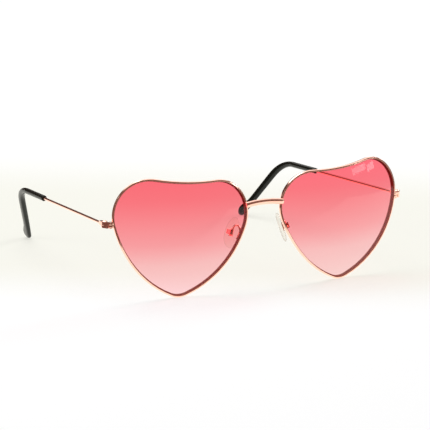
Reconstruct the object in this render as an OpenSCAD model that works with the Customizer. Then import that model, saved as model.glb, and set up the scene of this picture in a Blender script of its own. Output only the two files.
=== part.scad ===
// Heart shaped sunglasses: wire rims on curved lenses, a soldered bridge, folding wire temples
// with moulded ear tips, and clear nose pads that rock in small boxes.
// The part stands as it does on a table: on the two heart tips and the two ear tips.
// Origin on the table under the middle of the part's box. +X is to the right as seen from the
// front, +Y runs back along the temples, +Z is up. Left and right are as seen from the front.

/* [Lenses] */
// Width of a lens across its two lobes
lens_w = 60.2; // [58:0.1:62]
// Height of a lens from the tip of the heart to the top of its outer lobe
lens_h = 50.3; // [48:0.1:52]
// Gap between the two lenses across the nose
lens_gap = 17.7; // [17.3:0.1:20]
// Thickness of a lens
lens_t = 1.6; // [1.4:0.1:2]
// Radius of the sphere that the lenses and rims follow
lens_curve_r = 85; // [78:1:100]
// Turn of each lens back towards its temple, in degrees
wrap = 5.6; // [4:0.2:7]

/* [Heart outline] */
// Radius of the lobe beside the temple
lobe_out_r = 15.2; // [14.5:0.1:16]
// Radius of the lobe beside the nose
lobe_in_r = 14.8; // [14:0.1:15.5]
// How much lower the top of the inner lobe is than the top of the outer one
lobe_drop = 2.2; // [1:0.1:3]
// Radius of the rounded tip at the bottom of the heart
tip_r = 8.4; // [6:0.1:10]
// Shift of the tip from the middle of the lens towards the temple
tip_shift = 0.6; // [0:0.1:2]
// Radius of the long side between the tip and the outer lobe
side_out_r = 45; // [42:0.5:54]
// Radius of the long side between the tip and the inner lobe
side_in_r = 48.5; // [45:0.5:58]
// Radius of the shallow dip between the lobes
dip_r = 150; // [60:1:250]

/* [Rims and bridge] */
// How far the rim wire stands out past the lens edge
rim_out = 0.65; // [0.5:0.05:1]
// How far the rim wire's lips reach in over the lens edge
rim_lip = 0.4; // [0.3:0.05:0.6]
// Depth of the rim wire from front to back
rim_depth = 1.9; // [1.6:0.1:2.4]
// Height of the bridge bar's section
bridge_h = 2.5; // [2:0.1:3]
// Depth of the bridge bar's section from front to back
bridge_d = 1.4; // [1.2:0.1:1.8]
// Height of the bridge ends above the middle of the inner lobe
bridge_up = 3.3; // [2:0.1:4.4]
// Rise of the bridge's arch above its ends
bridge_rise = 0.8; // [0.5:0.1:3]

/* [Hinges] */
// Outside diameter of the hinge barrel
barrel_d = 2.4; // [2.2:0.1:2.8]
// Height of each of the barrel's three knuckles
knuckle_h = 0.85; // [0.8:0.05:1.1]
// Distance of the hinges below the middle of the outer lobe
hinge_low = 2.8; // [1:0.1:3.2]
// Distance from the rim out to the hinge axis
hinge_out = 2.8; // [2.8:0.1:3.4]
// Distance from the rim back to the hinge axis
hinge_back = 2; // [1.9:0.1:2.6]
// Diameter of the hinge screw's shank
hinge_screw_d = 1.2; // [1:0.05:1.4]
// Diameter of the rim screw's shank
rim_screw_d = 0.9; // [0.8:0.05:1]

/* [Temples] */
// Diameter of the temple wire
wire_d = 1.2; // [1:0.05:1.4]
// Distance from the hinge axis to the front end of the ear tip
tip_start = 62.5; // [58:0.5:66]
// Distance from the hinge axis to the start of the bend over the ear
bend_start = 81; // [78:0.5:86]
// Radius of the bend over the ear
bend_r = 14.5; // [12:0.5:18]
// Angle of the bend over the ear, in degrees
bend_angle = 59; // [50:1:66]
// Length of the ear tip after the bend
tip_drop_len = 25.8; // [20:0.1:28]
// Drop of the temple towards the ear, in degrees
temple_drop = 3.5; // [2:0.5:5]
// Turn of the temple in towards the head, in degrees
temple_toe = 3.1; // [1:0.1:4]
// Lean of the bent ear tip in towards the head, in degrees
tip_cant = 24; // [10:1:28]
// Diameter of the ear tip at its front end
tip_d = 2.5; // [2.2:0.1:3]
// Width of the ear tip's blade near its end
blade_w = 5.4; // [4.4:0.1:6]
// Thickness of the ear tip's blade near its end
blade_t = 2.1; // [1.9:0.1:2.4]

/* [Nose pads] */
// Height of a nose pad
pad_h = 13.4; // [12:0.1:15]
// Width of a nose pad at its widest
pad_w = 7.4; // [6.5:0.1:8.5]
// Thickness of a nose pad at its middle
pad_t = 2; // [1.6:0.1:2.4]
// Distance from the middle of the part to the middle of a pad
pad_x = 12; // [11.2:0.1:12.6]
// Distance of the pads behind the middles of the lenses
pad_back = 7.8; // [7:0.1:9]
// Height of the pads' middle below the lens centres
pad_low = 1.5; // [1:0.1:3]
// Turn of the pad's face towards the back, in degrees
pad_turn = 30; // [20:1:40]
// Lean of the pad's top in towards the nose, in degrees
pad_lean = 20; // [12:1:26]
// Diameter of the pad arm's wire
arm_d = 0.9; // [0.8:0.05:1.1]

/* [Hidden] */

$fn = 48;
gold = "#c98a6b";
lens_pink = [1, 0.42, 0.46, 0.55];
tip_black = "#20221f";
clear = [0.93, 0.93, 0.9, 0.6];

// Overrun of every cut past the face that it opens
over = 0.5;
// Depth that soldered pieces run into each other
braze = 0.15;
// Bite of a thread or a pushed on sleeve in the piece that holds it
grip = 0.02;
// Radial room of a screw in a hole that it turns in
turn_gap = 0.03;
// Room between hinge knuckles that slide over each other
knuckle_gap = 0.05;

// The rim wire's section, from the lips round the outside to the bottom of the groove
lip_round = 0.15;
groove_half = lens_t / 4;
groove_room = 0.05;
rim_section = [
    [-rim_lip, -groove_half - groove_room],
    [-rim_lip, lip_round - rim_depth / 2],
    [lip_round - rim_lip, -rim_depth / 2],
    [rim_out / 2, -rim_depth / 2],
    [rim_out, -rim_depth / 4],
    [rim_out, rim_depth / 4],
    [rim_out / 2, rim_depth / 2],
    [lip_round - rim_lip, rim_depth / 2],
    [-rim_lip, rim_depth / 2 - lip_round],
    [-rim_lip, groove_half + groove_room],
    [groove_room, 0]
];

// The outline is six arcs, each tangent to the next, in the plane of the lens: x towards the
// temple and y up, from the middle of the lens.
lobe_out_c = [lens_w / 2 - lobe_out_r, lens_h / 2 - lobe_out_r];
lobe_in_c = [lobe_in_r - lens_w / 2, lens_h / 2 - lobe_drop - lobe_in_r];
tip_c = [tip_shift, tip_r - lens_h / 2];
side_out_c = meet(tip_c, side_out_r - tip_r, lobe_out_c, side_out_r - lobe_out_r, 1);
side_in_c = meet(tip_c, side_in_r - tip_r, lobe_in_c, side_in_r - lobe_in_r, -1);
dip_c = meet(lobe_out_c, dip_r + lobe_out_r, lobe_in_c, dip_r + lobe_in_r, -1);

// Centre, radius, start angle, end angle, steps, and 1 for a bulge or -1 for a hollow
heart_arcs = [
    [tip_c, tip_r, angle_of(side_in_c, tip_c), angle_of(side_out_c, tip_c), 10, 1],
    [side_out_c, side_out_r, angle_of(side_out_c, tip_c), angle_of(side_out_c, lobe_out_c), 12, 1],
    [lobe_out_c, lobe_out_r, angle_of(side_out_c, lobe_out_c), angle_of(lobe_out_c, dip_c), 24, 1],
    [dip_c, dip_r, angle_of(dip_c, lobe_out_c), angle_of(dip_c, lobe_in_c), 8, -1],
    [lobe_in_c, lobe_in_r, angle_of(lobe_in_c, dip_c), angle_of(side_in_c, lobe_in_c), 24, 1],
    [side_in_c, side_in_r, angle_of(side_in_c, lobe_in_c), angle_of(side_in_c, tip_c), 14, 1]
];
outline = [for (arc = heart_arcs) for (k = [0 : arc[4] - 1]) station(arc, k)];

// Distance from the middle of the part to the middle of a lens
lens_x = (lens_gap + lens_w) / 2;

// The rim is closed beside the hinge, on the outer lobe or, where that ends higher, the long side
hinge_z = lobe_out_c[1] - hinge_low;
lobe_end_z = lobe_out_c[1] + lobe_out_r * sin(angle_of(side_out_c, lobe_out_c));
hinge_arc = hinge_z < lobe_end_z ? heart_arcs[1] : heart_arcs[2];
hinge_u = hinge_arc[0][0] + sqrt(pow(hinge_arc[1], 2) - pow(hinge_z - hinge_arc[0][1], 2));
hinge_n = ([hinge_u, hinge_z] - hinge_arc[0]) / hinge_arc[1];
rim_side = placed(on_sphere([[hinge_u, hinge_z], hinge_n], rim_out, 0));
hinge_at = rim_side + [hinge_out, hinge_back, 0];
barrel_r = barrel_d / 2;
barrel_h = 3 * knuckle_h + 2 * knuckle_gap;

// Closing block, in two halves with a slit between them
block_w = 2;
block_d = 2;
block_h = 2.2;
slit_h = 0.16;
block_x = rim_side[0] + block_w / 2 - braze;
block_y = rim_side[1];
rim_screw_head_d = 1.5;
rim_screw_head_h = 0.4;
driver_slot_w = 0.25;
driver_slot_share = 0.5;

// End piece: a plate from the upper block to the barrel, clear of the lower block. It starts a
// little in front of the block's middle.
end_plate_t = 0.8;
end_plate_front = 0.4;
end_gap = 0.15;
swing_gap = 0.22;

// Screw heads and tips of the hinge
hinge_head_d = 2;
hinge_head_h = 0.4;
hinge_tip_h = 0.2;

// Temple's half of the hinge
leaf_t = 1.5;
leaf_h = 1.7;
leaf_start = 1.5;
leaf_len = 2.3;
leaf_nose_len = 0.9;
leaf_nose_h = 1.5;
wire_start = 2.6;

// Ear tip
core_d = 1;
core_stop = 9;
core_lap = 0.6;
core_sides = 12;
core_bend_steps = 6;
tip_step = 0.03;
blade_sides = 20;
nose_flat_share = 0.02;
bend_steps = 9;
drop_steps = 10;
nose_steps = 4;
blade_nose_len = 2.7;
blade_lap = 0.6;
mid_w = 3.3;
blade_flare_len = 9;
// Power of the blade's section: 1 is an oval, and less is squarer
blade_power = 0.67;

bend_len = bend_r * bend_angle * PI / 180;
blade_end = bend_len + tip_drop_len;
core_steps = concat([-core_lap], [for (k = [0 : core_bend_steps]) bend_len * k / core_bend_steps],
                    [blade_end - core_stop]);
tip_steps = concat([-blade_lap, 0], [for (k = [1 : bend_steps]) bend_len * k / bend_steps],
    [for (k = [1 : drop_steps]) bend_len + (tip_drop_len - blade_nose_len) * k / drop_steps],
    [for (k = [1 : nose_steps]) blade_end - blade_nose_len * (1 - sin(90 * k / nose_steps))]);

// Height of the lens centres: the rims' lowest points are at zero height
lens_z = -min([for (s = outline) for (p = rim_section) on_sphere(s, p[0], p[1])[2]]);

// How far the part reaches in front of the lens centres and behind them
front_reach = lens_curve_r * (1 - cos(wrap)) + lens_t / 2;
rear_reach = hinge_at[1] + max([for (s = tip_steps) for (p = tip_ring(s)) temple_y(p)]);
front_y = (front_reach - rear_reach) / 2;

// Nose pad, its core and its box
pad_sides = 24;
pad_ring_shares = [[-1, 0.62], [-0.7, 0.9], [-0.2, 1], [0.3, 0.98], [0.75, 0.84], [1, 0.5]];
pad_egg_share = 0.16;
core_plate_t = 0.5;
core_plate_w = 2;
core_plate_h = 3.4;
eye_t = 0.7;
eye_d = 1.5;
eye_reach = 1.2;
eye_x = pad_t / 2 + eye_reach;
box_wall = 0.4;
box_gap = 0.15;
box_room = 0.3;
box_h = 2;
box_wide = eye_t + 2 * box_gap + 2 * box_wall;
box_back = eye_x + eye_d / 2 + box_gap + box_wall;
pad_screw_d = 0.7;
pad_screw_head_d = 1.2;
pad_screw_head_h = 0.3;
pad_screw_stop = 0.2;

// Pad arm: a foot on the back of the rim, a loop over the top and an end on the front cheek of the box
arm_sides = 10;
arm_foot_low = -3.2;
arm_foot_high = 0.2;
arm_foot_steps = 4;
arm_loop_steps = 12;
arm_rise = 3.3;
arm_lean = 1;
arm_end_rise = 2.6;
arm_deep = (rim_depth + arm_d) / 2 - braze;
arm_mid = (rim_out - rim_lip) / 2;
arm_foot = [for (k = [0 : arm_foot_steps])
    rim_back(arm_foot_low + (arm_foot_high - arm_foot_low) * k / arm_foot_steps)];
arm_end = [for (z = [box_h / 2, -box_h / 2]) pad_point([eye_x, braze - (box_wide + arm_d) / 2, z])];
arm_bend = [arm_foot[arm_foot_steps], arm_foot[arm_foot_steps] + [0, arm_lean, arm_rise],
            arm_end[0] + (arm_end[0] - arm_end[1]) / box_h * arm_end_rise, arm_end[0]];
arm_loop = [for (k = [1 : arm_loop_steps]) curve_at(arm_bend, k / arm_loop_steps)];
arm_route = concat(arm_foot, arm_loop, [arm_end[1]]);

function curve_at(c, t) = let (u = 1 - t)
    c[0] * u * u * u + c[1] * 3 * t * u * u + c[2] * 3 * t * t * u + c[3] * t * t * t;
function unit(v) = v / norm(v);

// A point of the right hand rim's back, on its nose side, at height v
function rim_back(v) =
    let (u = side_in_c[0] - sqrt(pow(side_in_r, 2) - pow(v - side_in_c[1], 2)), at = [u, v])
    placed(on_sphere([at, (at - side_in_c) / side_in_r], arm_mid, arm_deep));

// From the pad's own axes to the front's
function pad_point(p) =
    let (x = p[0] * cos(pad_lean) - p[2] * sin(pad_lean), z = p[0] * sin(pad_lean) + p[2] * cos(pad_lean))
    [pad_x + x * cos(pad_turn) + p[1] * sin(pad_turn),
     pad_back - x * sin(pad_turn) + p[1] * cos(pad_turn), z - pad_low];

// A ring of the arm's wire at step i of its route, square to it
function arm_ring(i) =
    let (last = len(arm_route) - 1, ahead = unit(arm_route[min(i + 1, last)] - arm_route[max(i - 1, 0)]),
         side_way = unit(cross([0, 0, 1], arm_end[0] - arm_foot[0])),
         e = unit(side_way - ahead * (side_way * ahead)), f = cross(ahead, e))
    [for (j = [0 : arm_sides - 1])
        let (a = 360 * j / arm_sides) arm_route[i] + (e * cos(a) + f * sin(a)) * arm_d / 2];

function angle_of(a, b) = atan2(b[1] - a[1], b[0] - a[0]);

// The point at distance d1 from c1 and d2 from c2, on one side of the line between them
function meet(c1, d1, c2, d2, side) =
    let (gap = norm(c2 - c1), along = (c2 - c1) / gap, across = [-along[1], along[0]],
         a = (gap * gap + d1 * d1 - d2 * d2) / (2 * gap))
    c1 + along * a + across * side * sqrt(max(d1 * d1 - a * a, 0));

// A point of the outline and its outward normal
function station(arc, k) =
    let (turn = arc[5], full = turn * (arc[3] - arc[2]), sweep = turn * (full - 360 * floor(full / 360)),
         a = arc[2] + sweep * k / arc[4], dir = [cos(a), sin(a)])
    [arc[0] + dir * arc[1], dir * turn];

// The place on the lens sphere of an outline station, moved out by a and back by b
function on_sphere(s, a, b) =
    let (deep = sqrt(pow(lens_curve_r, 2) - s[0] * s[0]),
         front = [s[0][0], -deep, s[0][1]] / lens_curve_r,
         flat_n = [s[1][0], 0, s[1][1]],
         slope = flat_n - front * (flat_n * front))
    [s[0][0], lens_curve_r - deep, s[0][1]] + slope / norm(slope) * a - front * b;

// From the right hand lens's own axes to the front's, whose middle is level with the lens centres
function placed(p) =
    [lens_x + p[0] * cos(wrap) - p[1] * sin(wrap), p[0] * sin(wrap) + p[1] * cos(wrap), p[2]];

// Faces between rings of points, closed into a loop or capped at both ends
function ring_faces(rings, count, closed) = [
    for (i = [0 : rings - (closed ? 1 : 2)]) for (j = [0 : count - 1])
        let (a = i * count + j, b = i * count + (j + 1) % count,
             c = ((i + 1) % rings) * count + (j + 1) % count, d = ((i + 1) % rings) * count + j)
        each [[a, b, c], [a, c, d]],
    if (!closed) [for (j = [count - 1 : -1 : 0]) j],
    if (!closed) [for (j = [0 : count - 1]) (rings - 1) * count + j]
];

module loft(rings, closed = false) {
    count = len(rings[0]);
    polyhedron(points = [for (r = rings) each r], faces = ring_faces(len(rings), count, closed));
}

module mirrored(side) {
    translate([0, front_y, lens_z]) mirror([side == "left" ? 1 : 0, 0, 0]) children();
}

module on_lens() {
    translate([lens_x, 0, 0]) rotate([0, 0, wrap]) children();
}

module rim(side) {
    color(gold) mirrored(side) difference() {
        on_lens() loft([for (s = outline) [for (p = rim_section) on_sphere(s, p[0], p[1])]], closed = true);
        translate([rim_side[0] - rim_out, rim_side[1], hinge_z])
            cube([3 * rim_out + 3 * rim_lip, 2 * rim_depth, slit_h], center = true);
    }
}

// A lens is a shell of even thickness whose edge is bevelled to sit in the rim's groove
bevel_in = rim_lip * 2;
lens_ring_shares = [0.78, 0.52, 0.26];

function lens_ring(share, b) = [for (s = outline)
    let (rim = on_flat(s, -bevel_in)) on_sphere([rim * share, s[1]], 0, b)];
function on_flat(s, a) = s[0] + s[1] * a;

module lens(side) {
    count = len(outline);
    front = -lens_t / 2;
    back = lens_t / 2;
    edge = [for (s = outline) on_sphere(s, 0, 0)];
    front_edge = [for (s = outline) on_sphere(s, -bevel_in, front)];
    back_edge = [for (s = outline) on_sphere(s, -bevel_in, back)];
    inner_shares = [for (i = [len(lens_ring_shares) - 1 : -1 : 0]) lens_ring_shares[i]];
    rings = concat([for (f = inner_shares) lens_ring(f, front)], [front_edge, edge, back_edge],
                   [for (f = lens_ring_shares) lens_ring(f, back)]);
    middle = [on_sphere([[0, 0], [1, 0]], 0, front), on_sphere([[0, 0], [1, 0]], 0, back)];
    last = len(rings) * count;
    skin = [for (i = [0 : len(rings) - 2]) for (j = [0 : count - 1])
        let (a = i * count + j, b = i * count + (j + 1) % count)
        each [[a, b, b + count], [a, b + count, a + count]]];
    caps = [for (j = [0 : count - 1]) each [
        [last, (j + 1) % count, j],
        [last + 1, last - count + j, last - count + (j + 1) % count]]];
    color(lens_pink) mirrored(side) on_lens()
        polyhedron(points = concat([for (r = rings) each r], middle), faces = concat(skin, caps));
}

// The bridge is an arched bar of oval section whose ends lie on the front of the rims
bridge_sides = 28;
bridge_overlap = rim_out + rim_lip;
bridge_z = lobe_in_c[1] + bridge_up;
bridge_n = [-sqrt(1 - pow(bridge_up / lobe_in_r, 2)), bridge_up / lobe_in_r];
bridge_rim = placed(on_sphere([lobe_in_c + bridge_n * lobe_in_r, bridge_n], rim_out, -rim_depth / 2));
bridge_half = bridge_rim[0] + bridge_overlap;
bridge_arc_r = (bridge_half * bridge_half + bridge_rise * bridge_rise) / (2 * bridge_rise);
bridge_arc = asin(bridge_half / bridge_arc_r);

module bridge() {
    arc_y = front_y + bridge_rim[1] - bridge_d / 2 + braze;
    arc_z = lens_z + bridge_z + bridge_rise - bridge_arc_r;
    color(gold) translate([0, arc_y, arc_z]) rotate([90, 0, 0]) rotate([0, 0, 90 - bridge_arc])
        rotate_extrude(angle = 2 * bridge_arc) translate([bridge_arc_r, 0]) bridge_section();
}

module bridge_section() {
    polygon([for (j = [0 : bridge_sides - 1])
        let (a = 360 * j / bridge_sides) [cos(a) * bridge_h / 2, sin(a) * bridge_d / 2]]);
}

module at_block() {
    translate([block_x, block_y, hinge_z]) children();
}

// One half of the closing block, a half round bar on end: outside round, rim side flat
module block_half(upper) {
    half_h = (block_h - slit_h) / 2;
    translate([0, 0, upper ? slit_h / 2 : -block_h / 2]) linear_extrude(half_h) {
        translate([-block_w / 2, -block_d / 2]) square([block_w / 2, block_d]);
        circle(d = block_w);
    }
}

module closing_block_upper(side) {
    color(gold) mirrored(side) at_block() difference() {
        block_half(true);
        translate([0, 0, -over]) cylinder(d = rim_screw_d - 2 * grip, h = block_h / 2 + 2 * over);
    }
}

module closing_block_lower(side) {
    color(gold) mirrored(side) at_block() difference() {
        block_half(false);
        translate([0, 0, -block_h / 2 - over]) cylinder(d = rim_screw_d + 2 * turn_gap, h = block_h + over);
    }
}

module rim_screw(side) {
    color(gold) mirrored(side) at_block() difference() {
        union() {
            translate([0, 0, -block_h / 2]) cylinder(d = rim_screw_d, h = block_h);
            translate([0, 0, -block_h / 2 - rim_screw_head_h])
                cylinder(d = rim_screw_head_d, h = rim_screw_head_h);
        }
        translate([0, 0, -block_h / 2 - rim_screw_head_h])
            cube([rim_screw_head_d + over, driver_slot_w, 2 * driver_slot_share * rim_screw_head_h],
                 center = true);
    }
}

module at_hinge() {
    translate([hinge_at[0], hinge_at[1], hinge_z]) children();
}

// The end piece hangs on the upper block and carries the barrel's upper and lower knuckles
module end_piece(side) {
    block = [block_x - hinge_at[0], block_y - hinge_at[1]];
    outside = block[0] + block_w / 2;
    front = block[1] - end_plate_front;
    color(gold) mirrored(side) at_hinge() difference() {
        union() {
            translate([0, 0, -barrel_h / 2]) linear_extrude(barrel_h) {
                circle(r = barrel_r);
                polygon([[outside + end_gap, front], [outside + end_gap + end_plate_t, front],
                         [barrel_r, -barrel_r / 2], [barrel_r, 0], [-barrel_r, 0],
                         [outside + end_gap, block[1] / 2]]);
            }
            translate([outside - braze, front, slit_h / 2])
                cube([braze + end_gap + braze, end_plate_front + block_d / 2, (block_h - slit_h) / 2]);
        }
        cylinder(r = barrel_r + swing_gap, h = knuckle_h + 2 * knuckle_gap, center = true);
        cylinder(d = hinge_screw_d + 2 * turn_gap, h = barrel_h);
        translate([0, 0, -barrel_h]) cylinder(d = hinge_screw_d - 2 * grip, h = barrel_h);
    }
}

module hinge_screw(side) {
    cap_r = (pow(hinge_head_d / 2, 2) + pow(hinge_head_h, 2)) / (2 * hinge_head_h);
    color(gold) mirrored(side) at_hinge() difference() {
        union() {
            translate([0, 0, -barrel_h / 2 - hinge_tip_h])
                cylinder(d = hinge_screw_d, h = barrel_h + hinge_tip_h);
            translate([0, 0, barrel_h / 2]) intersection() {
                cylinder(d = hinge_head_d, h = hinge_head_h);
                translate([0, 0, hinge_head_h - cap_r]) sphere(r = cap_r);
            }
        }
        translate([0, 0, barrel_h / 2 + hinge_head_h])
            cube([hinge_head_d + over, driver_slot_w, 2 * driver_slot_share * hinge_head_h], center = true);
    }
}

// The temple's leaf: the middle knuckle, a tongue and a body that the wire is brazed into
module temple_hinge(side) {
    color(gold) mirrored(side) at_hinge() difference() {
        union() {
            cylinder(d = barrel_d, h = knuckle_h, center = true);
            rotate([0, 0, 90 + temple_toe]) rotate([90, 0, 0]) linear_extrude(leaf_t, center = true)
                polygon([
                [0, -knuckle_h / 2], [leaf_start, -knuckle_h / 2], [leaf_start, -leaf_h / 2],
                [leaf_start + leaf_len - leaf_nose_len, -leaf_h / 2],
                [leaf_start + leaf_len, -leaf_nose_h / 2],
                [leaf_start + leaf_len, leaf_nose_h / 2],
                [leaf_start + leaf_len - leaf_nose_len, leaf_h / 2],
                [leaf_start, leaf_h / 2], [leaf_start, knuckle_h / 2], [0, knuckle_h / 2]]);
        }
        cylinder(d = hinge_screw_d + 2 * turn_gap, h = barrel_h, center = true);
        along_temple() translate([wire_start, 0, 0]) rotate([0, 90, 0])
            cylinder(d = wire_d - 2 * grip, h = leaf_len);
    }
}

// The temple's own axes: x along the wire, the bend in the xz plane, from the hinge axis
module along_temple() {
    rotate([0, 0, 90 + temple_toe]) rotate([0, temple_drop, 0]) rotate([tip_cant, 0, 0]) children();
}

// The wire's route: straight to the bend, then a thinner core over it and down inside the ear tip
module temple_route(from, bite) {
    translate([from, 0, 0]) rotate([0, 90, 0]) cylinder(d = wire_d - 2 * bite, h = bend_start - from);
    loft([for (s = core_steps) round_ring(s, core_d / 2 - bite)]);
}

module temple_wire(side) {
    color(gold) mirrored(side) at_hinge() along_temple() temple_route(wire_start, 0);
}

// The middle of the ear tip at length s past the start of the bend, with its slope
function tip_mid(s) = s < bend_len
    ? let (a = max(s, 0) / bend_len * bend_angle)
        [bend_start + min(s, 0) + bend_r * sin(a), -bend_r * (1 - cos(a)), a]
    : [bend_start + bend_r * sin(bend_angle) + (s - bend_len) * cos(bend_angle),
       -bend_r * (1 - cos(bend_angle)) - (s - bend_len) * sin(bend_angle), bend_angle];
function ease(t) = let (c = min(max(t, 0), 1)) c * c * (3 - 2 * c);
function between(a, b, t) = a + (b - a) * t;
function tip_width(s) = s < bend_len ? between(tip_d - 2 * tip_step, mid_w, ease(s / bend_len))
    : between(mid_w, blade_w, ease((s - blade_end + blade_flare_len) / (blade_flare_len - blade_nose_len)));
function tip_thick(s) = s < bend_len ? tip_d - 2 * tip_step
    : between(tip_d - 2 * tip_step, blade_t, ease((s - bend_len) / tip_drop_len));
function nose_round(s) = let (t = (s - blade_end + blade_nose_len) / blade_nose_len)
    t <= 0 ? 1 : sqrt(max(1 - t * t, nose_flat_share));
function bowed(v, power) = sign(v) * pow(abs(v), power);
function oval_ring(m, w, t, power, shift, sides) = [for (j = [0 : sides - 1])
    let (a = 360 * j / sides, up = w * bowed(cos(a), power) + shift)
    [m[0] + up * sin(m[2]), t * bowed(sin(a), power), m[1] + up * cos(m[2])]];
function round_ring(s, r) = oval_ring(tip_mid(s), r, r, 1, 0, core_sides);
function tip_ring(s) = let (w = tip_width(s), nose = nose_round(s))
    oval_ring(tip_mid(s), w / 2 * nose, tip_thick(s) / 2 * sqrt(nose),
              between(1, blade_power, ease(s / bend_len)), (w - min(w, mid_w)) / 2, blade_sides);

// How far a point of the temple's own axes lies behind the hinge
function temple_y(p) =
    let (out = p[1] * cos(tip_cant) - p[2] * sin(tip_cant), up = p[1] * sin(tip_cant) + p[2] * cos(tip_cant),
         along = p[0] * cos(temple_drop) + up * sin(temple_drop))
    along * cos(temple_toe) - out * sin(temple_toe);

module ear_tip(side) {
    color(tip_black) mirrored(side) at_hinge() along_temple() difference() {
        union() {
            translate([tip_start, 0, 0]) rotate([0, 90, 0]) cylinder(d = tip_d, h = bend_start - tip_start);
            loft([for (s = tip_steps) tip_ring(s)]);
        }
        temple_route(tip_start - over, grip);
    }
}

// The pad's own axes: -x towards the nose, z up its length, y across it towards the back
module at_pad() {
    translate([pad_x, pad_back, -pad_low]) rotate([0, 0, -pad_turn]) rotate([0, -pad_lean, 0]) children();
}

function egg(a) = [cos(a) * pad_w / 2 * (1 - pad_egg_share * sin(a)), sin(a) * pad_h / 2];

module nose_pad(side) {
    rings = [for (r = pad_ring_shares) [for (j = [0 : pad_sides - 1])
        let (p = egg(360 * j / pad_sides) * r[1]) [r[0] * pad_t / 2, p[0], p[1]]]];
    color(clear) mirrored(side) at_pad() difference() {
        loft(rings);
        core_plate(grip, over);
    }
}

// The core is a plate moulded into the pad's back, with an eye that the pad screw passes
module core_plate(bite, past) {
    translate([pad_t / 2 - core_plate_t, bite - core_plate_w / 2, bite - core_plate_h / 2])
        cube([core_plate_t + past, core_plate_w - 2 * bite, core_plate_h - 2 * bite]);
}

module pad_core(side) {
    color(gold) mirrored(side) at_pad() difference() {
        union() {
            core_plate(0, 0);
            translate([0, eye_t / 2, 0]) rotate([90, 0, 0]) linear_extrude(eye_t) {
                translate([pad_t / 2 - core_plate_t / 2, -eye_d / 2])
                    square([eye_x - pad_t / 2 + core_plate_t / 2, eye_d]);
                translate([eye_x, 0]) circle(d = eye_d);
            }
        }
        translate([eye_x, 0, 0]) rotate([90, 0, 0])
            cylinder(d = pad_screw_d + 2 * turn_gap, h = eye_t + over, center = true);
    }
}

// The box is a clevis, closed at its back, that holds the core's eye between two cheeks
module pad_box(side) {
    mouth = pad_t / 2 + box_room;
    color(gold) mirrored(side) at_pad() difference() {
        translate([mouth, -box_wide / 2, -box_h / 2]) cube([box_back - mouth, box_wide, box_h]);
        translate([mouth - over, box_wall - box_wide / 2, -box_h / 2 - over])
            cube([box_back - box_wall - mouth + over, box_wide - 2 * box_wall, box_h + 2 * over]);
        translate([eye_x, 0, 0]) rotate([90, 0, 0])
            cylinder(d = pad_screw_d - 2 * grip, h = box_wide + over, center = true);
    }
}

module pad_screw(side) {
    color(gold) mirrored(side) at_pad() translate([eye_x, 0, 0]) rotate([-90, 0, 0]) {
        translate([0, 0, pad_screw_stop - box_wide / 2])
            cylinder(d = pad_screw_d, h = box_wide - pad_screw_stop);
        translate([0, 0, box_wide / 2]) cylinder(d = pad_screw_head_d, h = pad_screw_head_h);
    }
}

// The arm climbs the back of the rim from its foot, loops over and comes down the box's front cheek
module pad_arm(side) {
    color(gold) mirrored(side) loft([for (i = [0 : len(arm_route) - 1]) arm_ring(i)]);
}

for (side = ["left", "right"]) {
    rim(side);
    lens(side);
    closing_block_upper(side);
    closing_block_lower(side);
    rim_screw(side);
    end_piece(side);
    hinge_screw(side);
    temple_hinge(side);
    temple_wire(side);
    ear_tip(side);
    pad_arm(side);
    pad_box(side);
    pad_screw(side);
    pad_core(side);
    nose_pad(side);
}
bridge();
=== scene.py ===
import math
import bpy
from mathutils import Matrix, Vector


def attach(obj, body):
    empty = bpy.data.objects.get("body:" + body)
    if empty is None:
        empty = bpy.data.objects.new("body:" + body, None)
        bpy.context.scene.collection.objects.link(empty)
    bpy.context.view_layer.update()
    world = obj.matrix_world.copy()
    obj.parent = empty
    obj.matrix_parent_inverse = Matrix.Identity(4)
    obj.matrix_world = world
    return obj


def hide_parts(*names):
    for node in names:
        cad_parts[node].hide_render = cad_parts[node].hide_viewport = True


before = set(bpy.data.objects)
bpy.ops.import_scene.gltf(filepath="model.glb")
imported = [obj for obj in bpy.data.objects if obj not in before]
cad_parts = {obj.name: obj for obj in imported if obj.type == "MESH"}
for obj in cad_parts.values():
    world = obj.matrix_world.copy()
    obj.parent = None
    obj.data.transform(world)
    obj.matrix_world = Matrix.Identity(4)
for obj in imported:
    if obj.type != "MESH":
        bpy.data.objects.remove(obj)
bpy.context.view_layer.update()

# The camera stands a little above the sunglasses and to their left, a long way off, as the
# photograph was taken. Its place was fitted to the outlines of both lenses. Lengths are in metres.
CAMERA_TURN = math.radians(-29.81)
CAMERA_TILT = math.radians(14.29)
CAMERA_ROLL = math.radians(1.95)
CAMERA_FAR = 1.3909
CAMERA_AIM = Vector((-0.02512, -0.0581, 0.03514))
CAMERA_LENS = 279.2
CAMERA_FILM = 36
CAMERA_SIGHT = (0.05, 50)
camera_back = Vector((
    math.sin(CAMERA_TURN) * math.cos(CAMERA_TILT),
    -math.cos(CAMERA_TURN) * math.cos(CAMERA_TILT),
    math.sin(CAMERA_TILT),
))
level_right = Vector((math.cos(CAMERA_TURN), math.sin(CAMERA_TURN), 0))
level_up = camera_back.cross(level_right)
camera_right = level_right * math.cos(CAMERA_ROLL) + level_up * math.sin(CAMERA_ROLL)
camera_up = level_up * math.cos(CAMERA_ROLL) - level_right * math.sin(CAMERA_ROLL)
camera_view = Matrix((camera_right, camera_up, camera_back)).transposed().to_4x4()
camera_view.translation = CAMERA_AIM + camera_back * CAMERA_FAR
camera = bpy.data.objects.new("camera", bpy.data.cameras.new("camera"))
camera.data.lens = CAMERA_LENS
camera.data.sensor_width = CAMERA_FILM
camera.data.clip_start, camera.data.clip_end = CAMERA_SIGHT
camera.matrix_world = camera_view
bpy.context.scene.collection.objects.link(camera)
bpy.context.scene.camera = camera

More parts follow.
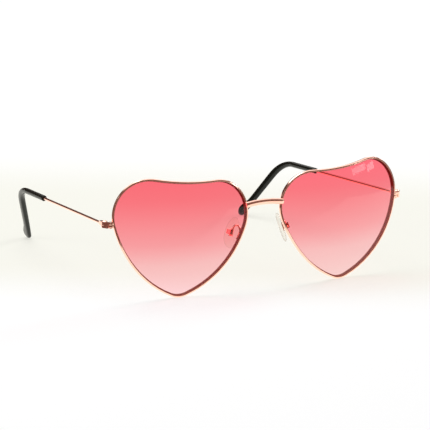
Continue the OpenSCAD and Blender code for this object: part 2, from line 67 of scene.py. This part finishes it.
# The table is a white sheet on a board. Its colour is painted warmer and darker in a band by the
# sunglasses and white before and behind, as painted shade and light for how the light falls. It takes
# their soft shadows. Seen in the polished wire and the lenses, the board glows as a painted
# reflection: a bright sheet with its edges, and beyond them a dim floor.
WHITE = (1, 1, 1, 1)
BLACK = (0, 0, 0, 1)
BOARD_WIDE = 8
# Painted shade and light on the board: its tone runs from white to a darker warm band by the
# sunglasses and back to white.
BOARD_WAY = (0.461, 0.887, 0)
BOARD_SPAN = (-0.1, 0.3)
BOARD_PAINTED_SHADE = (0.925, 0.92, 0.85, 1)
BOARD_PAINTED_LIGHT_TONES = ((0.03, WHITE), (0.21, BOARD_PAINTED_SHADE), (0.5, BOARD_PAINTED_SHADE), (0.78, WHITE))
BOARD_PAINT = 0.42
BOARD_GLOW = 0.65
# The board's painted reflection: a bright glowing sheet, and a dim floor beyond its edges, seen only
# in glossy rays.
SHEET_FRONT_WAY = (0.66, 0.751, 0)
SHEET_FRONT = (-0.114, -0.094)
SHEET_CORNER_WAY = (0, 1, 0)
SHEET_CORNER = (-0.13, -0.118)
SHEET_SIDE_WAY = (1, 0.3, 0)
SHEET_SPAN = (-0.3, 0.7)
SHEET_SIDES = ((0.12, BLACK), (0.16, WHITE), (0.67, WHITE), (0.74, BLACK))
SHEET_PAINTED_REFLECTION = (1.4, 1.38, 1.27, 1)
FLOOR_PAINTED_REFLECTION = (0.2, 0.1, 0.08, 1)


def reach_along(tree, source, way):
    """How far a place or a direction reaches along a way."""
    reach = tree.nodes.new("ShaderNodeVectorMath")
    reach.operation = "DOT_PRODUCT"
    reach.inputs[1].default_value = way
    tree.links.new(source, reach.inputs[0])
    return reach.outputs["Value"]


def fade(tree, source, span, ends=(0, 1), change="LINEAR"):
    """A value that goes from one end to the other while the source crosses the span."""
    step = tree.nodes.new("ShaderNodeMapRange")
    step.interpolation_type = change
    step.inputs["From Min"].default_value, step.inputs["From Max"].default_value = span
    step.inputs["To Min"].default_value, step.inputs["To Max"].default_value = ends
    tree.links.new(source, step.inputs["Value"])
    return step.outputs["Result"]


def tone_row(tree, source, stops, change="LINEAR"):
    """The colour at the source's place, from 0 to 1, in a row of colours."""
    row = tree.nodes.new("ShaderNodeValToRGB")
    row.color_ramp.interpolation = change
    while len(row.color_ramp.elements) < len(stops):
        row.color_ramp.elements.new(0.5)
    for stop, (spot, colour) in zip(row.color_ramp.elements, stops):
        stop.position = spot
        stop.color = colour
    tree.links.new(source, row.inputs["Fac"])
    return row.outputs["Color"]


def dimmed(tree, colour, share):
    """A share of a colour."""
    part = tree.nodes.new("ShaderNodeVectorMath")
    part.operation = "SCALE"
    part.inputs["Scale"].default_value = share
    tree.links.new(colour, part.inputs[0])
    return part.outputs["Vector"]


def both(tree, operation, first, second):
    """Two values brought together by an operation."""
    maths = tree.nodes.new("ShaderNodeMath")
    maths.operation = operation
    tree.links.new(first, maths.inputs[0])
    tree.links.new(second, maths.inputs[1])
    return maths.outputs[0]


def mixed_colour(tree, share, first, second):
    """The first colour where the share is 0 and the second where it is 1."""
    mix = tree.nodes.new("ShaderNodeMix")
    mix.data_type = "RGBA"
    tree.links.new(share, mix.inputs["Factor"])
    for socket, colour in (("A", first), ("B", second)):
        if isinstance(colour, tuple):
            mix.inputs[socket].default_value = colour
        else:
            tree.links.new(colour, mix.inputs[socket])
    return mix.outputs["Result"]


def mixed_shader(tree, share, first, second):
    """The first shader where the share is 0 and the second where it is 1."""
    mix = tree.nodes.new("ShaderNodeMixShader")
    tree.links.new(share, mix.inputs["Fac"])
    tree.links.new(first, mix.inputs[1])
    tree.links.new(second, mix.inputs[2])
    return mix.outputs[0]


bpy.ops.object.select_all(action="DESELECT")
bpy.ops.mesh.primitive_plane_add(size=BOARD_WIDE, location=(0, 0, 0))
board = bpy.context.object
board.name = "table"
white_board = bpy.data.materials.new("white_board")
white_board.use_nodes = True
tree = white_board.node_tree
tree.nodes.clear()
place = tree.nodes.new("ShaderNodeTexCoord").outputs["Object"]
path = tree.nodes.new("ShaderNodeLightPath").outputs
# The board's paint and glow both take the painted shade and light of the band.
depth = fade(tree, reach_along(tree, place, BOARD_WAY), BOARD_SPAN)
shade = tone_row(tree, depth, BOARD_PAINTED_LIGHT_TONES, change="EASE")
seen = both(tree, "MAXIMUM", path["Is Camera Ray"], path["Is Transmission Ray"])
paint = tree.nodes.new("ShaderNodeBsdfDiffuse")
tree.links.new(dimmed(tree, shade, BOARD_PAINT), paint.inputs["Color"])
glow = tree.nodes.new("ShaderNodeEmission")
tree.links.new(dimmed(tree, shade, BOARD_GLOW), glow.inputs["Color"])
tree.links.new(seen, glow.inputs["Strength"])
lit = tree.nodes.new("ShaderNodeAddShader")
tree.links.new(paint.outputs[0], lit.inputs[0])
tree.links.new(glow.outputs[0], lit.inputs[1])
# Glossy rays see the board glow as a painted reflection of the sheet and of the dim floor beyond it.
front = fade(tree, reach_along(tree, place, SHEET_FRONT_WAY), SHEET_FRONT, change="SMOOTHSTEP")
corner = fade(tree, reach_along(tree, place, SHEET_CORNER_WAY), SHEET_CORNER, change="SMOOTHSTEP")
across = fade(tree, reach_along(tree, place, SHEET_SIDE_WAY), SHEET_SPAN)
sides = tone_row(tree, across, SHEET_SIDES)
sheet = both(tree, "MULTIPLY", both(tree, "MAXIMUM", front, corner), sides)
mirrored = tree.nodes.new("ShaderNodeEmission")
tree.links.new(mixed_colour(tree, sheet, FLOOR_PAINTED_REFLECTION, SHEET_PAINTED_REFLECTION), mirrored.inputs["Color"])
board_look = mixed_shader(tree, path["Is Glossy Ray"], lit.outputs[0], mirrored.outputs[0])
tree.links.new(board_look, tree.nodes.new("ShaderNodeOutputMaterial").inputs["Surface"])
board.data.materials.append(white_board)

# The room is dim to above head height, darker at the back. Its wide white ceiling comes lower at the
# back and the right, so that polished wire shows a dark band between light edges. Where the camera
# looks past the table, the room is white.
WALL_FRONT = (0.26, 0.16, 0.13, 1)
WALL_BACK = (0.09, 0.04, 0.03, 1)
WALL_WAY = (0, 1, 0)
WALL_TURN = (-0.3, 0.2)
CEILING_COLOUR = (1.45, 1.45, 1.42, 1)
CEILING_WAY = (0.3, 0.2, 1)
CEILING_START = (0.58, 0.72)
ROOM_LEVEL = 0.36
room = bpy.data.worlds.new("room")
bpy.context.scene.world = room
room.use_nodes = True
tree = room.node_tree
tree.nodes.clear()
view = tree.nodes.new("ShaderNodeTexCoord").outputs["Generated"]
path = tree.nodes.new("ShaderNodeLightPath").outputs
turned = fade(tree, reach_along(tree, view, WALL_WAY), WALL_TURN, change="SMOOTHSTEP")
raised = fade(tree, reach_along(tree, view, CEILING_WAY), CEILING_START, change="SMOOTHSTEP")
walls = mixed_colour(tree, turned, WALL_FRONT, WALL_BACK)
mirrored_room = tree.nodes.new("ShaderNodeBackground")
tree.links.new(mixed_colour(tree, raised, walls, CEILING_COLOUR), mirrored_room.inputs["Color"])
plain_light = tree.nodes.new("ShaderNodeBackground")
plain_light.inputs["Color"].default_value = WHITE
plain_light.inputs["Strength"].default_value = ROOM_LEVEL
open_white = tree.nodes.new("ShaderNodeBackground")
open_white.inputs["Color"].default_value = WHITE
in_metal = mixed_shader(tree, path["Is Glossy Ray"], plain_light.outputs[0], mirrored_room.outputs[0])
seen = both(tree, "MAXIMUM", path["Is Camera Ray"], path["Is Transmission Ray"])
room_look = mixed_shader(tree, seen, in_metal, open_white.outputs[0])
tree.links.new(room_look, tree.nodes.new("ShaderNodeOutputWorld").inputs["Surface"])

# A soft ceiling light, a soft light from the left, a low lamp on the right that throws the long
# faint shadows, and the two panes of a far window that show in the right lens. Each has its name,
# place, width, height and watts, and faces the sunglasses.
LAMPS = (
    ("ceiling", (-0.15, 0.35, 1.3), 0.9, 0.9, 7),
    ("soft_left", (-1.2, 0.1, 0.7), 0.5, 0.5, 3),
    ("low_right", (1.35, 0.3, 0.6), 0.4, 0.4, 7),
    ("pane_left", (1.33, -0.99, 0.28), 0.3, 0.085, 0.42),
    ("pane_right", (1.48, -0.77, 0.24), 0.17, 0.085, 0.24),
)
for name, spot, wide, high, watts in LAMPS:
    lamp = bpy.data.objects.new(name, bpy.data.lights.new(name, "AREA"))
    lamp.data.shape = "RECTANGLE"
    lamp.data.size = wide
    lamp.data.size_y = high
    lamp.data.energy = watts
    lamp.location = spot
    lamp.rotation_euler = (-Vector(spot)).to_track_quat("-Z", "Y").to_euler()
    bpy.context.scene.collection.objects.link(lamp)

# The rims are two lengths of drawn rose gold wire, bent to the heart outline and to the curve of
# the lens. A groove along the inside grips the lens, and the wire's corners are rolled round. The
# groove walls next to the lens are painted a dull, darker tone: painted shade where the lens shades
# them.
JOIN_GAP = 1e-6
FLAT_ENOUGH = math.radians(12)
EDGE_STEPS = 3
RIM_EDGE_ROUND = 0.0003
RIM_CORNER = math.radians(20)
SHEEN_CORNER = math.radians(50)
MOTTLE_SPAN = (0.3, 0.7)
GOLD_TONES = ((0, (0.86, 0.5, 0.4, 1)), (1, (0.94, 0.6, 0.5, 1)))
GOLD_TONE_SCALE = 140
GOLD_TONE_DETAIL = 2
GOLD_POLISH = (0.08, 0.17)
GOLD_POLISH_SCALE = 1800
GOLD_POLISH_DETAIL = 4
GOLD_MARKS = 0.04
GOLD_MARK_DEPTH = 0.00002
# Painted shade: the groove walls next to the lens take this dull, darker tone instead of metal.
GROOVE_PAINTED_SHADE = (0.48, 0.21, 0.15, 1)
GROOVE_PROBE = 0.001
GROOVE_NEAR = 0.0009


def take_up(piece):
    """Makes a piece the only one that the next operators act on."""
    bpy.ops.object.select_all(action="DESELECT")
    piece.select_set(True)
    bpy.context.view_layer.objects.active = piece


def node_copy(node, name):
    """A free copy of a solid, its loose triangles joined, ready for its finish."""
    piece = bpy.data.objects.new(name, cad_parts[node].data.copy())
    bpy.context.scene.collection.objects.link(piece)
    take_up(piece)
    bpy.ops.object.mode_set(mode="EDIT")
    bpy.ops.mesh.select_all(action="SELECT")
    bpy.ops.mesh.remove_doubles(threshold=JOIN_GAP)
    bpy.ops.mesh.tris_convert_to_quads(face_threshold=FLAT_ENOUGH, shape_threshold=math.pi)
    bpy.ops.object.mode_set(mode="OBJECT")
    piece.data.materials.clear()
    return piece


def round_edges(piece, width, corner):
    """Rounds the edges that turn more sharply than corner, as tumbling and polishing do."""
    take_up(piece)
    rounding = piece.modifiers.new("rounding", "BEVEL")
    rounding.width = width
    rounding.segments = EDGE_STEPS
    rounding.limit_method = "ANGLE"
    rounding.angle_limit = corner
    bpy.ops.object.modifier_apply(modifier=rounding.name)


def polish(piece, corner=SHEEN_CORNER):
    """Smooth shading that keeps flat faces flat and the edges sharper than corner."""
    take_up(piece)
    bpy.ops.object.shade_smooth_by_angle(angle=corner)
    flats = piece.modifiers.new("flats", "WEIGHTED_NORMAL")
    flats.keep_sharp = True
    bpy.ops.object.modifier_apply(modifier=flats.name)


def new_finish(name):
    """A material with its node tree and its main shader."""
    finish = bpy.data.materials.new(name)
    finish.use_nodes = True
    return finish, finish.node_tree, finish.node_tree.nodes["Principled BSDF"]


def mottling(tree, scale, detail):
    """Mottling on the piece's own coordinates, mostly between the ends of MOTTLE_SPAN."""
    place = tree.nodes.new("ShaderNodeTexCoord").outputs["Object"]
    noise = tree.nodes.new("ShaderNodeTexNoise")
    noise.inputs["Scale"].default_value = scale
    noise.inputs["Detail"].default_value = detail
    tree.links.new(place, noise.inputs["Vector"])
    return noise.outputs["Fac"]


def relief(tree, source, strength, depth):
    """Fine marks in the surface, as deep as the source is light."""
    marks = tree.nodes.new("ShaderNodeBump")
    marks.inputs["Strength"].default_value = strength
    marks.inputs["Distance"].default_value = depth
    tree.links.new(source, marks.inputs["Height"])
    return marks.outputs["Normal"]


rose_gold, tree, shader = new_finish("rose_gold")
# The groove mask marks the faces next to the lens, which get the painted shade and lose their metal.
in_groove = tree.nodes.new("ShaderNodeAttribute")
in_groove.attribute_name = "groove"
tones = tone_row(tree, mottling(tree, GOLD_TONE_SCALE, GOLD_TONE_DETAIL), GOLD_TONES)
gold = mixed_colour(tree, in_groove.outputs["Fac"], tones, GROOVE_PAINTED_SHADE)
tree.links.new(gold, shader.inputs["Base Color"])
metal_outside_painted_shade = fade(tree, in_groove.outputs["Fac"], (0, 1), (1, 0))
tree.links.new(metal_outside_painted_shade, shader.inputs["Metallic"])
shader.inputs["Specular IOR Level"].default_value = 0
buffing = mottling(tree, GOLD_POLISH_SCALE, GOLD_POLISH_DETAIL)
tree.links.new(fade(tree, buffing, MOTTLE_SPAN, GOLD_POLISH), shader.inputs["Roughness"])
tree.links.new(relief(tree, buffing, GOLD_MARKS, GOLD_MARK_DEPTH), shader.inputs["Normal"])

for side in ("left", "right"):
    rim = node_copy("rim_" + side, "rim_wire_" + side)
    round_edges(rim, RIM_EDGE_ROUND, RIM_CORNER)
    polish(rim)
    # Faces close to the lens are marked for the painted shade in the groove.
    groove = rim.data.attributes.new("groove", "FLOAT", "FACE")
    for face in rim.data.polygons:
        probe = face.center + face.normal * GROOVE_PROBE
        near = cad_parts["lens_" + side].closest_point_on_mesh(probe)[1]
        groove.data[face.index].value = float((near - probe).length < GROOVE_NEAR)
    rim.data.materials.append(rose_gold)
    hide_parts("rim_" + side)
    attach(rim, "front")

# The lenses are curved polycarbonate, tinted in a bath: deep pink at the top and fading to almost
# clear at the tip. Both faces are polished parts of a ball, and the bevelled edge sits in the rim's
# groove. The tints are what one of the two faces lets through.
TINT_HEIGHT = (0.001, 0.051)
LENS_TINTS = (
    (0, (1, 0.83, 0.845, 1)),
    (0.28, (1, 0.74, 0.765, 1)),
    (0.45, (1, 0.615, 0.65, 1)),
    (0.62, (1, 0.54, 0.58, 1)),
    (0.82, (1, 0.445, 0.495, 1)),
    (1, (1, 0.405, 0.46, 1)),
)
LENS_UP = (0, 0, 1)
LENS_POLISH = 0.02
LENS_SLANT = (0.06, 1)
LENS_MIRROR = (0.003, 0.12)
LENS_CORNER = math.radians(22)
LENS_BALL = (0.03065, 0.02655, 0.02591)
LENS_SKIN = 0.95
tinted_lens, tree, shader = new_finish("tinted_lens")
tree.nodes.remove(shader)
place = tree.nodes.new("ShaderNodeTexCoord").outputs["Object"]
height = fade(tree, reach_along(tree, place, LENS_UP), TINT_HEIGHT)
through = tree.nodes.new("ShaderNodeBsdfTransparent")
tree.links.new(tone_row(tree, height, LENS_TINTS), through.inputs["Color"])
gloss = tree.nodes.new("ShaderNodeBsdfGlossy")
gloss.inputs["Roughness"].default_value = LENS_POLISH
slant = tree.nodes.new("ShaderNodeLayerWeight").outputs["Facing"]
outside = fade(tree, tree.nodes.new("ShaderNodeNewGeometry").outputs["Backfacing"], (0, 1), (1, 0))
shine = both(tree, "MULTIPLY", fade(tree, slant, LENS_SLANT, LENS_MIRROR), outside)
lens_look = mixed_shader(tree, shine, through.outputs[0], gloss.outputs[0])
tree.links.new(lens_look, tree.nodes["Material Output"].inputs["Surface"])


def ball_normals(mesh, ball):
    """Each face corner's normal: the ball's on the two polished faces, the face's own on the edge."""
    normals = []
    for face in mesh.polygons:
        facing = (face.center - ball).normalized().dot(face.normal)
        for corner in face.vertices:
            out = (mesh.vertices[corner].co - ball).normalized()
            if facing > LENS_SKIN:
                normals.append(out)
            elif facing < -LENS_SKIN:
                normals.append(-out)
            else:
                normals.append(face.normal.copy())
    return normals


for side in ("left", "right"):
    lens = node_copy("lens_" + side, "tinted_lens_" + side)
    polish(lens, LENS_CORNER)
    ball = Vector(LENS_BALL)
    if side == "left":
        ball.x = -ball.x
    lens.data.normals_split_custom_set(ball_normals(lens.data, ball))
    lens.data.materials.append(tinted_lens)
    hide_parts("lens_" + side)
    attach(lens, "front")

# The bridge is an oval bar of the same rose gold, arched over the nose. It is brazed to the fronts
# of both rims.
BRIDGE_ROUND = 0.00025
BRIDGE_CORNER = math.radians(60)
bridge = node_copy("bridge", "bridge_bar")
round_edges(bridge, BRIDGE_ROUND, BRIDGE_CORNER)
polish(bridge)
bridge.data.materials.append(rose_gold)
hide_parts("bridge")
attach(bridge, "front")

# Beside each hinge a small block in two halves closes the rim round its lens: one screw from
# below draws the halves together. The end piece bears the outer knuckles and the hinge screw.
BLOCK_ROUND = 0.00014
BLOCK_CORNER = math.radians(40)
SCREW_ROUND = BLOCK_ROUND / 3
for side in ("left", "right"):
    for node, width in (
        ("closing_block_upper_", BLOCK_ROUND),
        ("closing_block_lower_", BLOCK_ROUND),
        ("rim_screw_", SCREW_ROUND),
        ("end_piece_", BLOCK_ROUND),
        ("hinge_screw_", SCREW_ROUND),
    ):
        fitting = node_copy(node + side, "polished_" + node + side)
        round_edges(fitting, width, BLOCK_CORNER)
        polish(fitting)
        fitting.data.materials.append(rose_gold)
        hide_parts(node + side)
        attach(fitting, "front")

# Each temple is a straight wire brazed into a small hinge leaf with the middle knuckle. It runs
# back, drops a little and ends inside the ear tip.
WIRE_ROUND = SCREW_ROUND
for side in ("left", "right"):
    for node, width in (("temple_hinge_", BLOCK_ROUND), ("temple_wire_", WIRE_ROUND)):
        fitting = node_copy(node + side, "polished_" + node + side)
        round_edges(fitting, width, BLOCK_CORNER)
        polish(fitting)
        fitting.data.materials.append(rose_gold)
        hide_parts(node + side)
        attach(fitting, "temple_" + side)

# The ear tips are glossy black sleeves, moulded with a flat blade at the end, warmed and pushed
# over the wire, then bent down behind the ear with it.
SLEEVE_TONES = ((0, (0.004, 0.006, 0.004, 1)), (1, (0.011, 0.014, 0.01, 1)))
SLEEVE_GLOSS = (0.2, 0.27)
SLEEVE_SHINE = 0.26
SLEEVE_SCALE = 700
SLEEVE_DETAIL = 3
SLEEVE_GRAIN = 0.03
SLEEVE_GRAIN_DEPTH = 0.00001
SLEEVE_SWELL = 1
MOULD_CORNER = math.radians(60)
black_sleeve, tree, shader = new_finish("black_sleeve")
flow = mottling(tree, SLEEVE_SCALE, SLEEVE_DETAIL)
tree.links.new(tone_row(tree, flow, SLEEVE_TONES), shader.inputs["Base Color"])
tree.links.new(fade(tree, flow, MOTTLE_SPAN, SLEEVE_GLOSS), shader.inputs["Roughness"])
shader.inputs["Specular IOR Level"].default_value = SLEEVE_SHINE
tree.links.new(relief(tree, flow, SLEEVE_GRAIN, SLEEVE_GRAIN_DEPTH), shader.inputs["Normal"])


def swell(piece, levels):
    """Rounds a moulded piece by subdivision and keeps its edges sharper than MOULD_CORNER."""
    take_up(piece)
    bpy.ops.object.mode_set(mode="EDIT")
    bpy.ops.mesh.select_mode(type="EDGE")
    bpy.ops.mesh.select_all(action="DESELECT")
    bpy.ops.mesh.edges_select_sharp(sharpness=MOULD_CORNER)
    bpy.ops.transform.edge_crease(value=1)
    bpy.ops.object.mode_set(mode="OBJECT")
    rounding = piece.modifiers.new("rounding", "SUBSURF")
    rounding.levels = levels
    rounding.render_levels = levels
    bpy.ops.object.modifier_apply(modifier=rounding.name)


for side in ("left", "right"):
    sleeve = node_copy("ear_tip_" + side, "ear_sleeve_" + side)
    swell(sleeve, SLEEVE_SWELL)
    polish(sleeve)
    sleeve.data.materials.append(black_sleeve)
    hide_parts("ear_tip_" + side)
    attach(sleeve, "temple_" + side)

# Each nose pad hangs on an arm of thin wire, brazed to the back of the rim and looped over to a
# small open box. A screw through the box holds the pad's eye, so that the pad can rock.
BOX_ROUND = BLOCK_ROUND / 2
ARM_CORNER = math.radians(60)
for side in ("left", "right"):
    for node, width, corner in (
        ("pad_arm_", WIRE_ROUND, ARM_CORNER),
        ("pad_box_", BOX_ROUND, BLOCK_CORNER),
        ("pad_screw_", SCREW_ROUND, BLOCK_CORNER),
    ):
        fitting = node_copy(node + side, "polished_" + node + side)
        round_edges(fitting, width, corner)
        polish(fitting)
        fitting.data.materials.append(rose_gold)
        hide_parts(node + side)
        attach(fitting, "front")

# The nose pads are soft clear silicone, moulded round a small metal core plate with an eye. Seen
# straight on they are almost clear, and their rims show as a fine outline.
PAD_TINT = (0.78, 0.74, 0.7, 1)
PAD_GLOSS = (0.12, 0.25)
PAD_SCALE = 500
PAD_DETAIL = 2
PAD_CLEAR = (0.975, 0.962, 0.94, 1)
PAD_BLEND = 0.3
PAD_SLANT = (0.2, 0.95)
PAD_BODY = (0.005, 0.6)
PAD_SWELL = 2
CORE_ROUND = BLOCK_ROUND / 2
clear_pad, tree, shader = new_finish("clear_pad")
haze = mottling(tree, PAD_SCALE, PAD_DETAIL)
shader.inputs["Base Color"].default_value = PAD_TINT
tree.links.new(fade(tree, haze, MOTTLE_SPAN, PAD_GLOSS), shader.inputs["Roughness"])
through = tree.nodes.new("ShaderNodeBsdfTransparent")
through.inputs["Color"].default_value = PAD_CLEAR
slant = tree.nodes.new("ShaderNodeLayerWeight")
slant.inputs["Blend"].default_value = PAD_BLEND
body = fade(tree, slant.outputs["Facing"], PAD_SLANT, PAD_BODY)
pad_look = mixed_shader(tree, body, through.outputs[0], shader.outputs[0])
tree.links.new(pad_look, tree.nodes["Material Output"].inputs["Surface"])
for side in ("left", "right"):
    pad = node_copy("nose_pad_" + side, "clear_nose_pad_" + side)
    swell(pad, PAD_SWELL)
    polish(pad)
    pad.data.materials.append(clear_pad)
    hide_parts("nose_pad_" + side)
    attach(pad, "pad_" + side)
    core = node_copy("pad_core_" + side, "moulded_core_" + side)
    round_edges(core, CORE_ROUND, BLOCK_CORNER)
    polish(core)
    core.data.materials.append(rose_gold)
    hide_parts("pad_core_" + side)
    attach(core, "pad_" + side)

bpy.context.scene.view_settings.view_transform = "Standard"
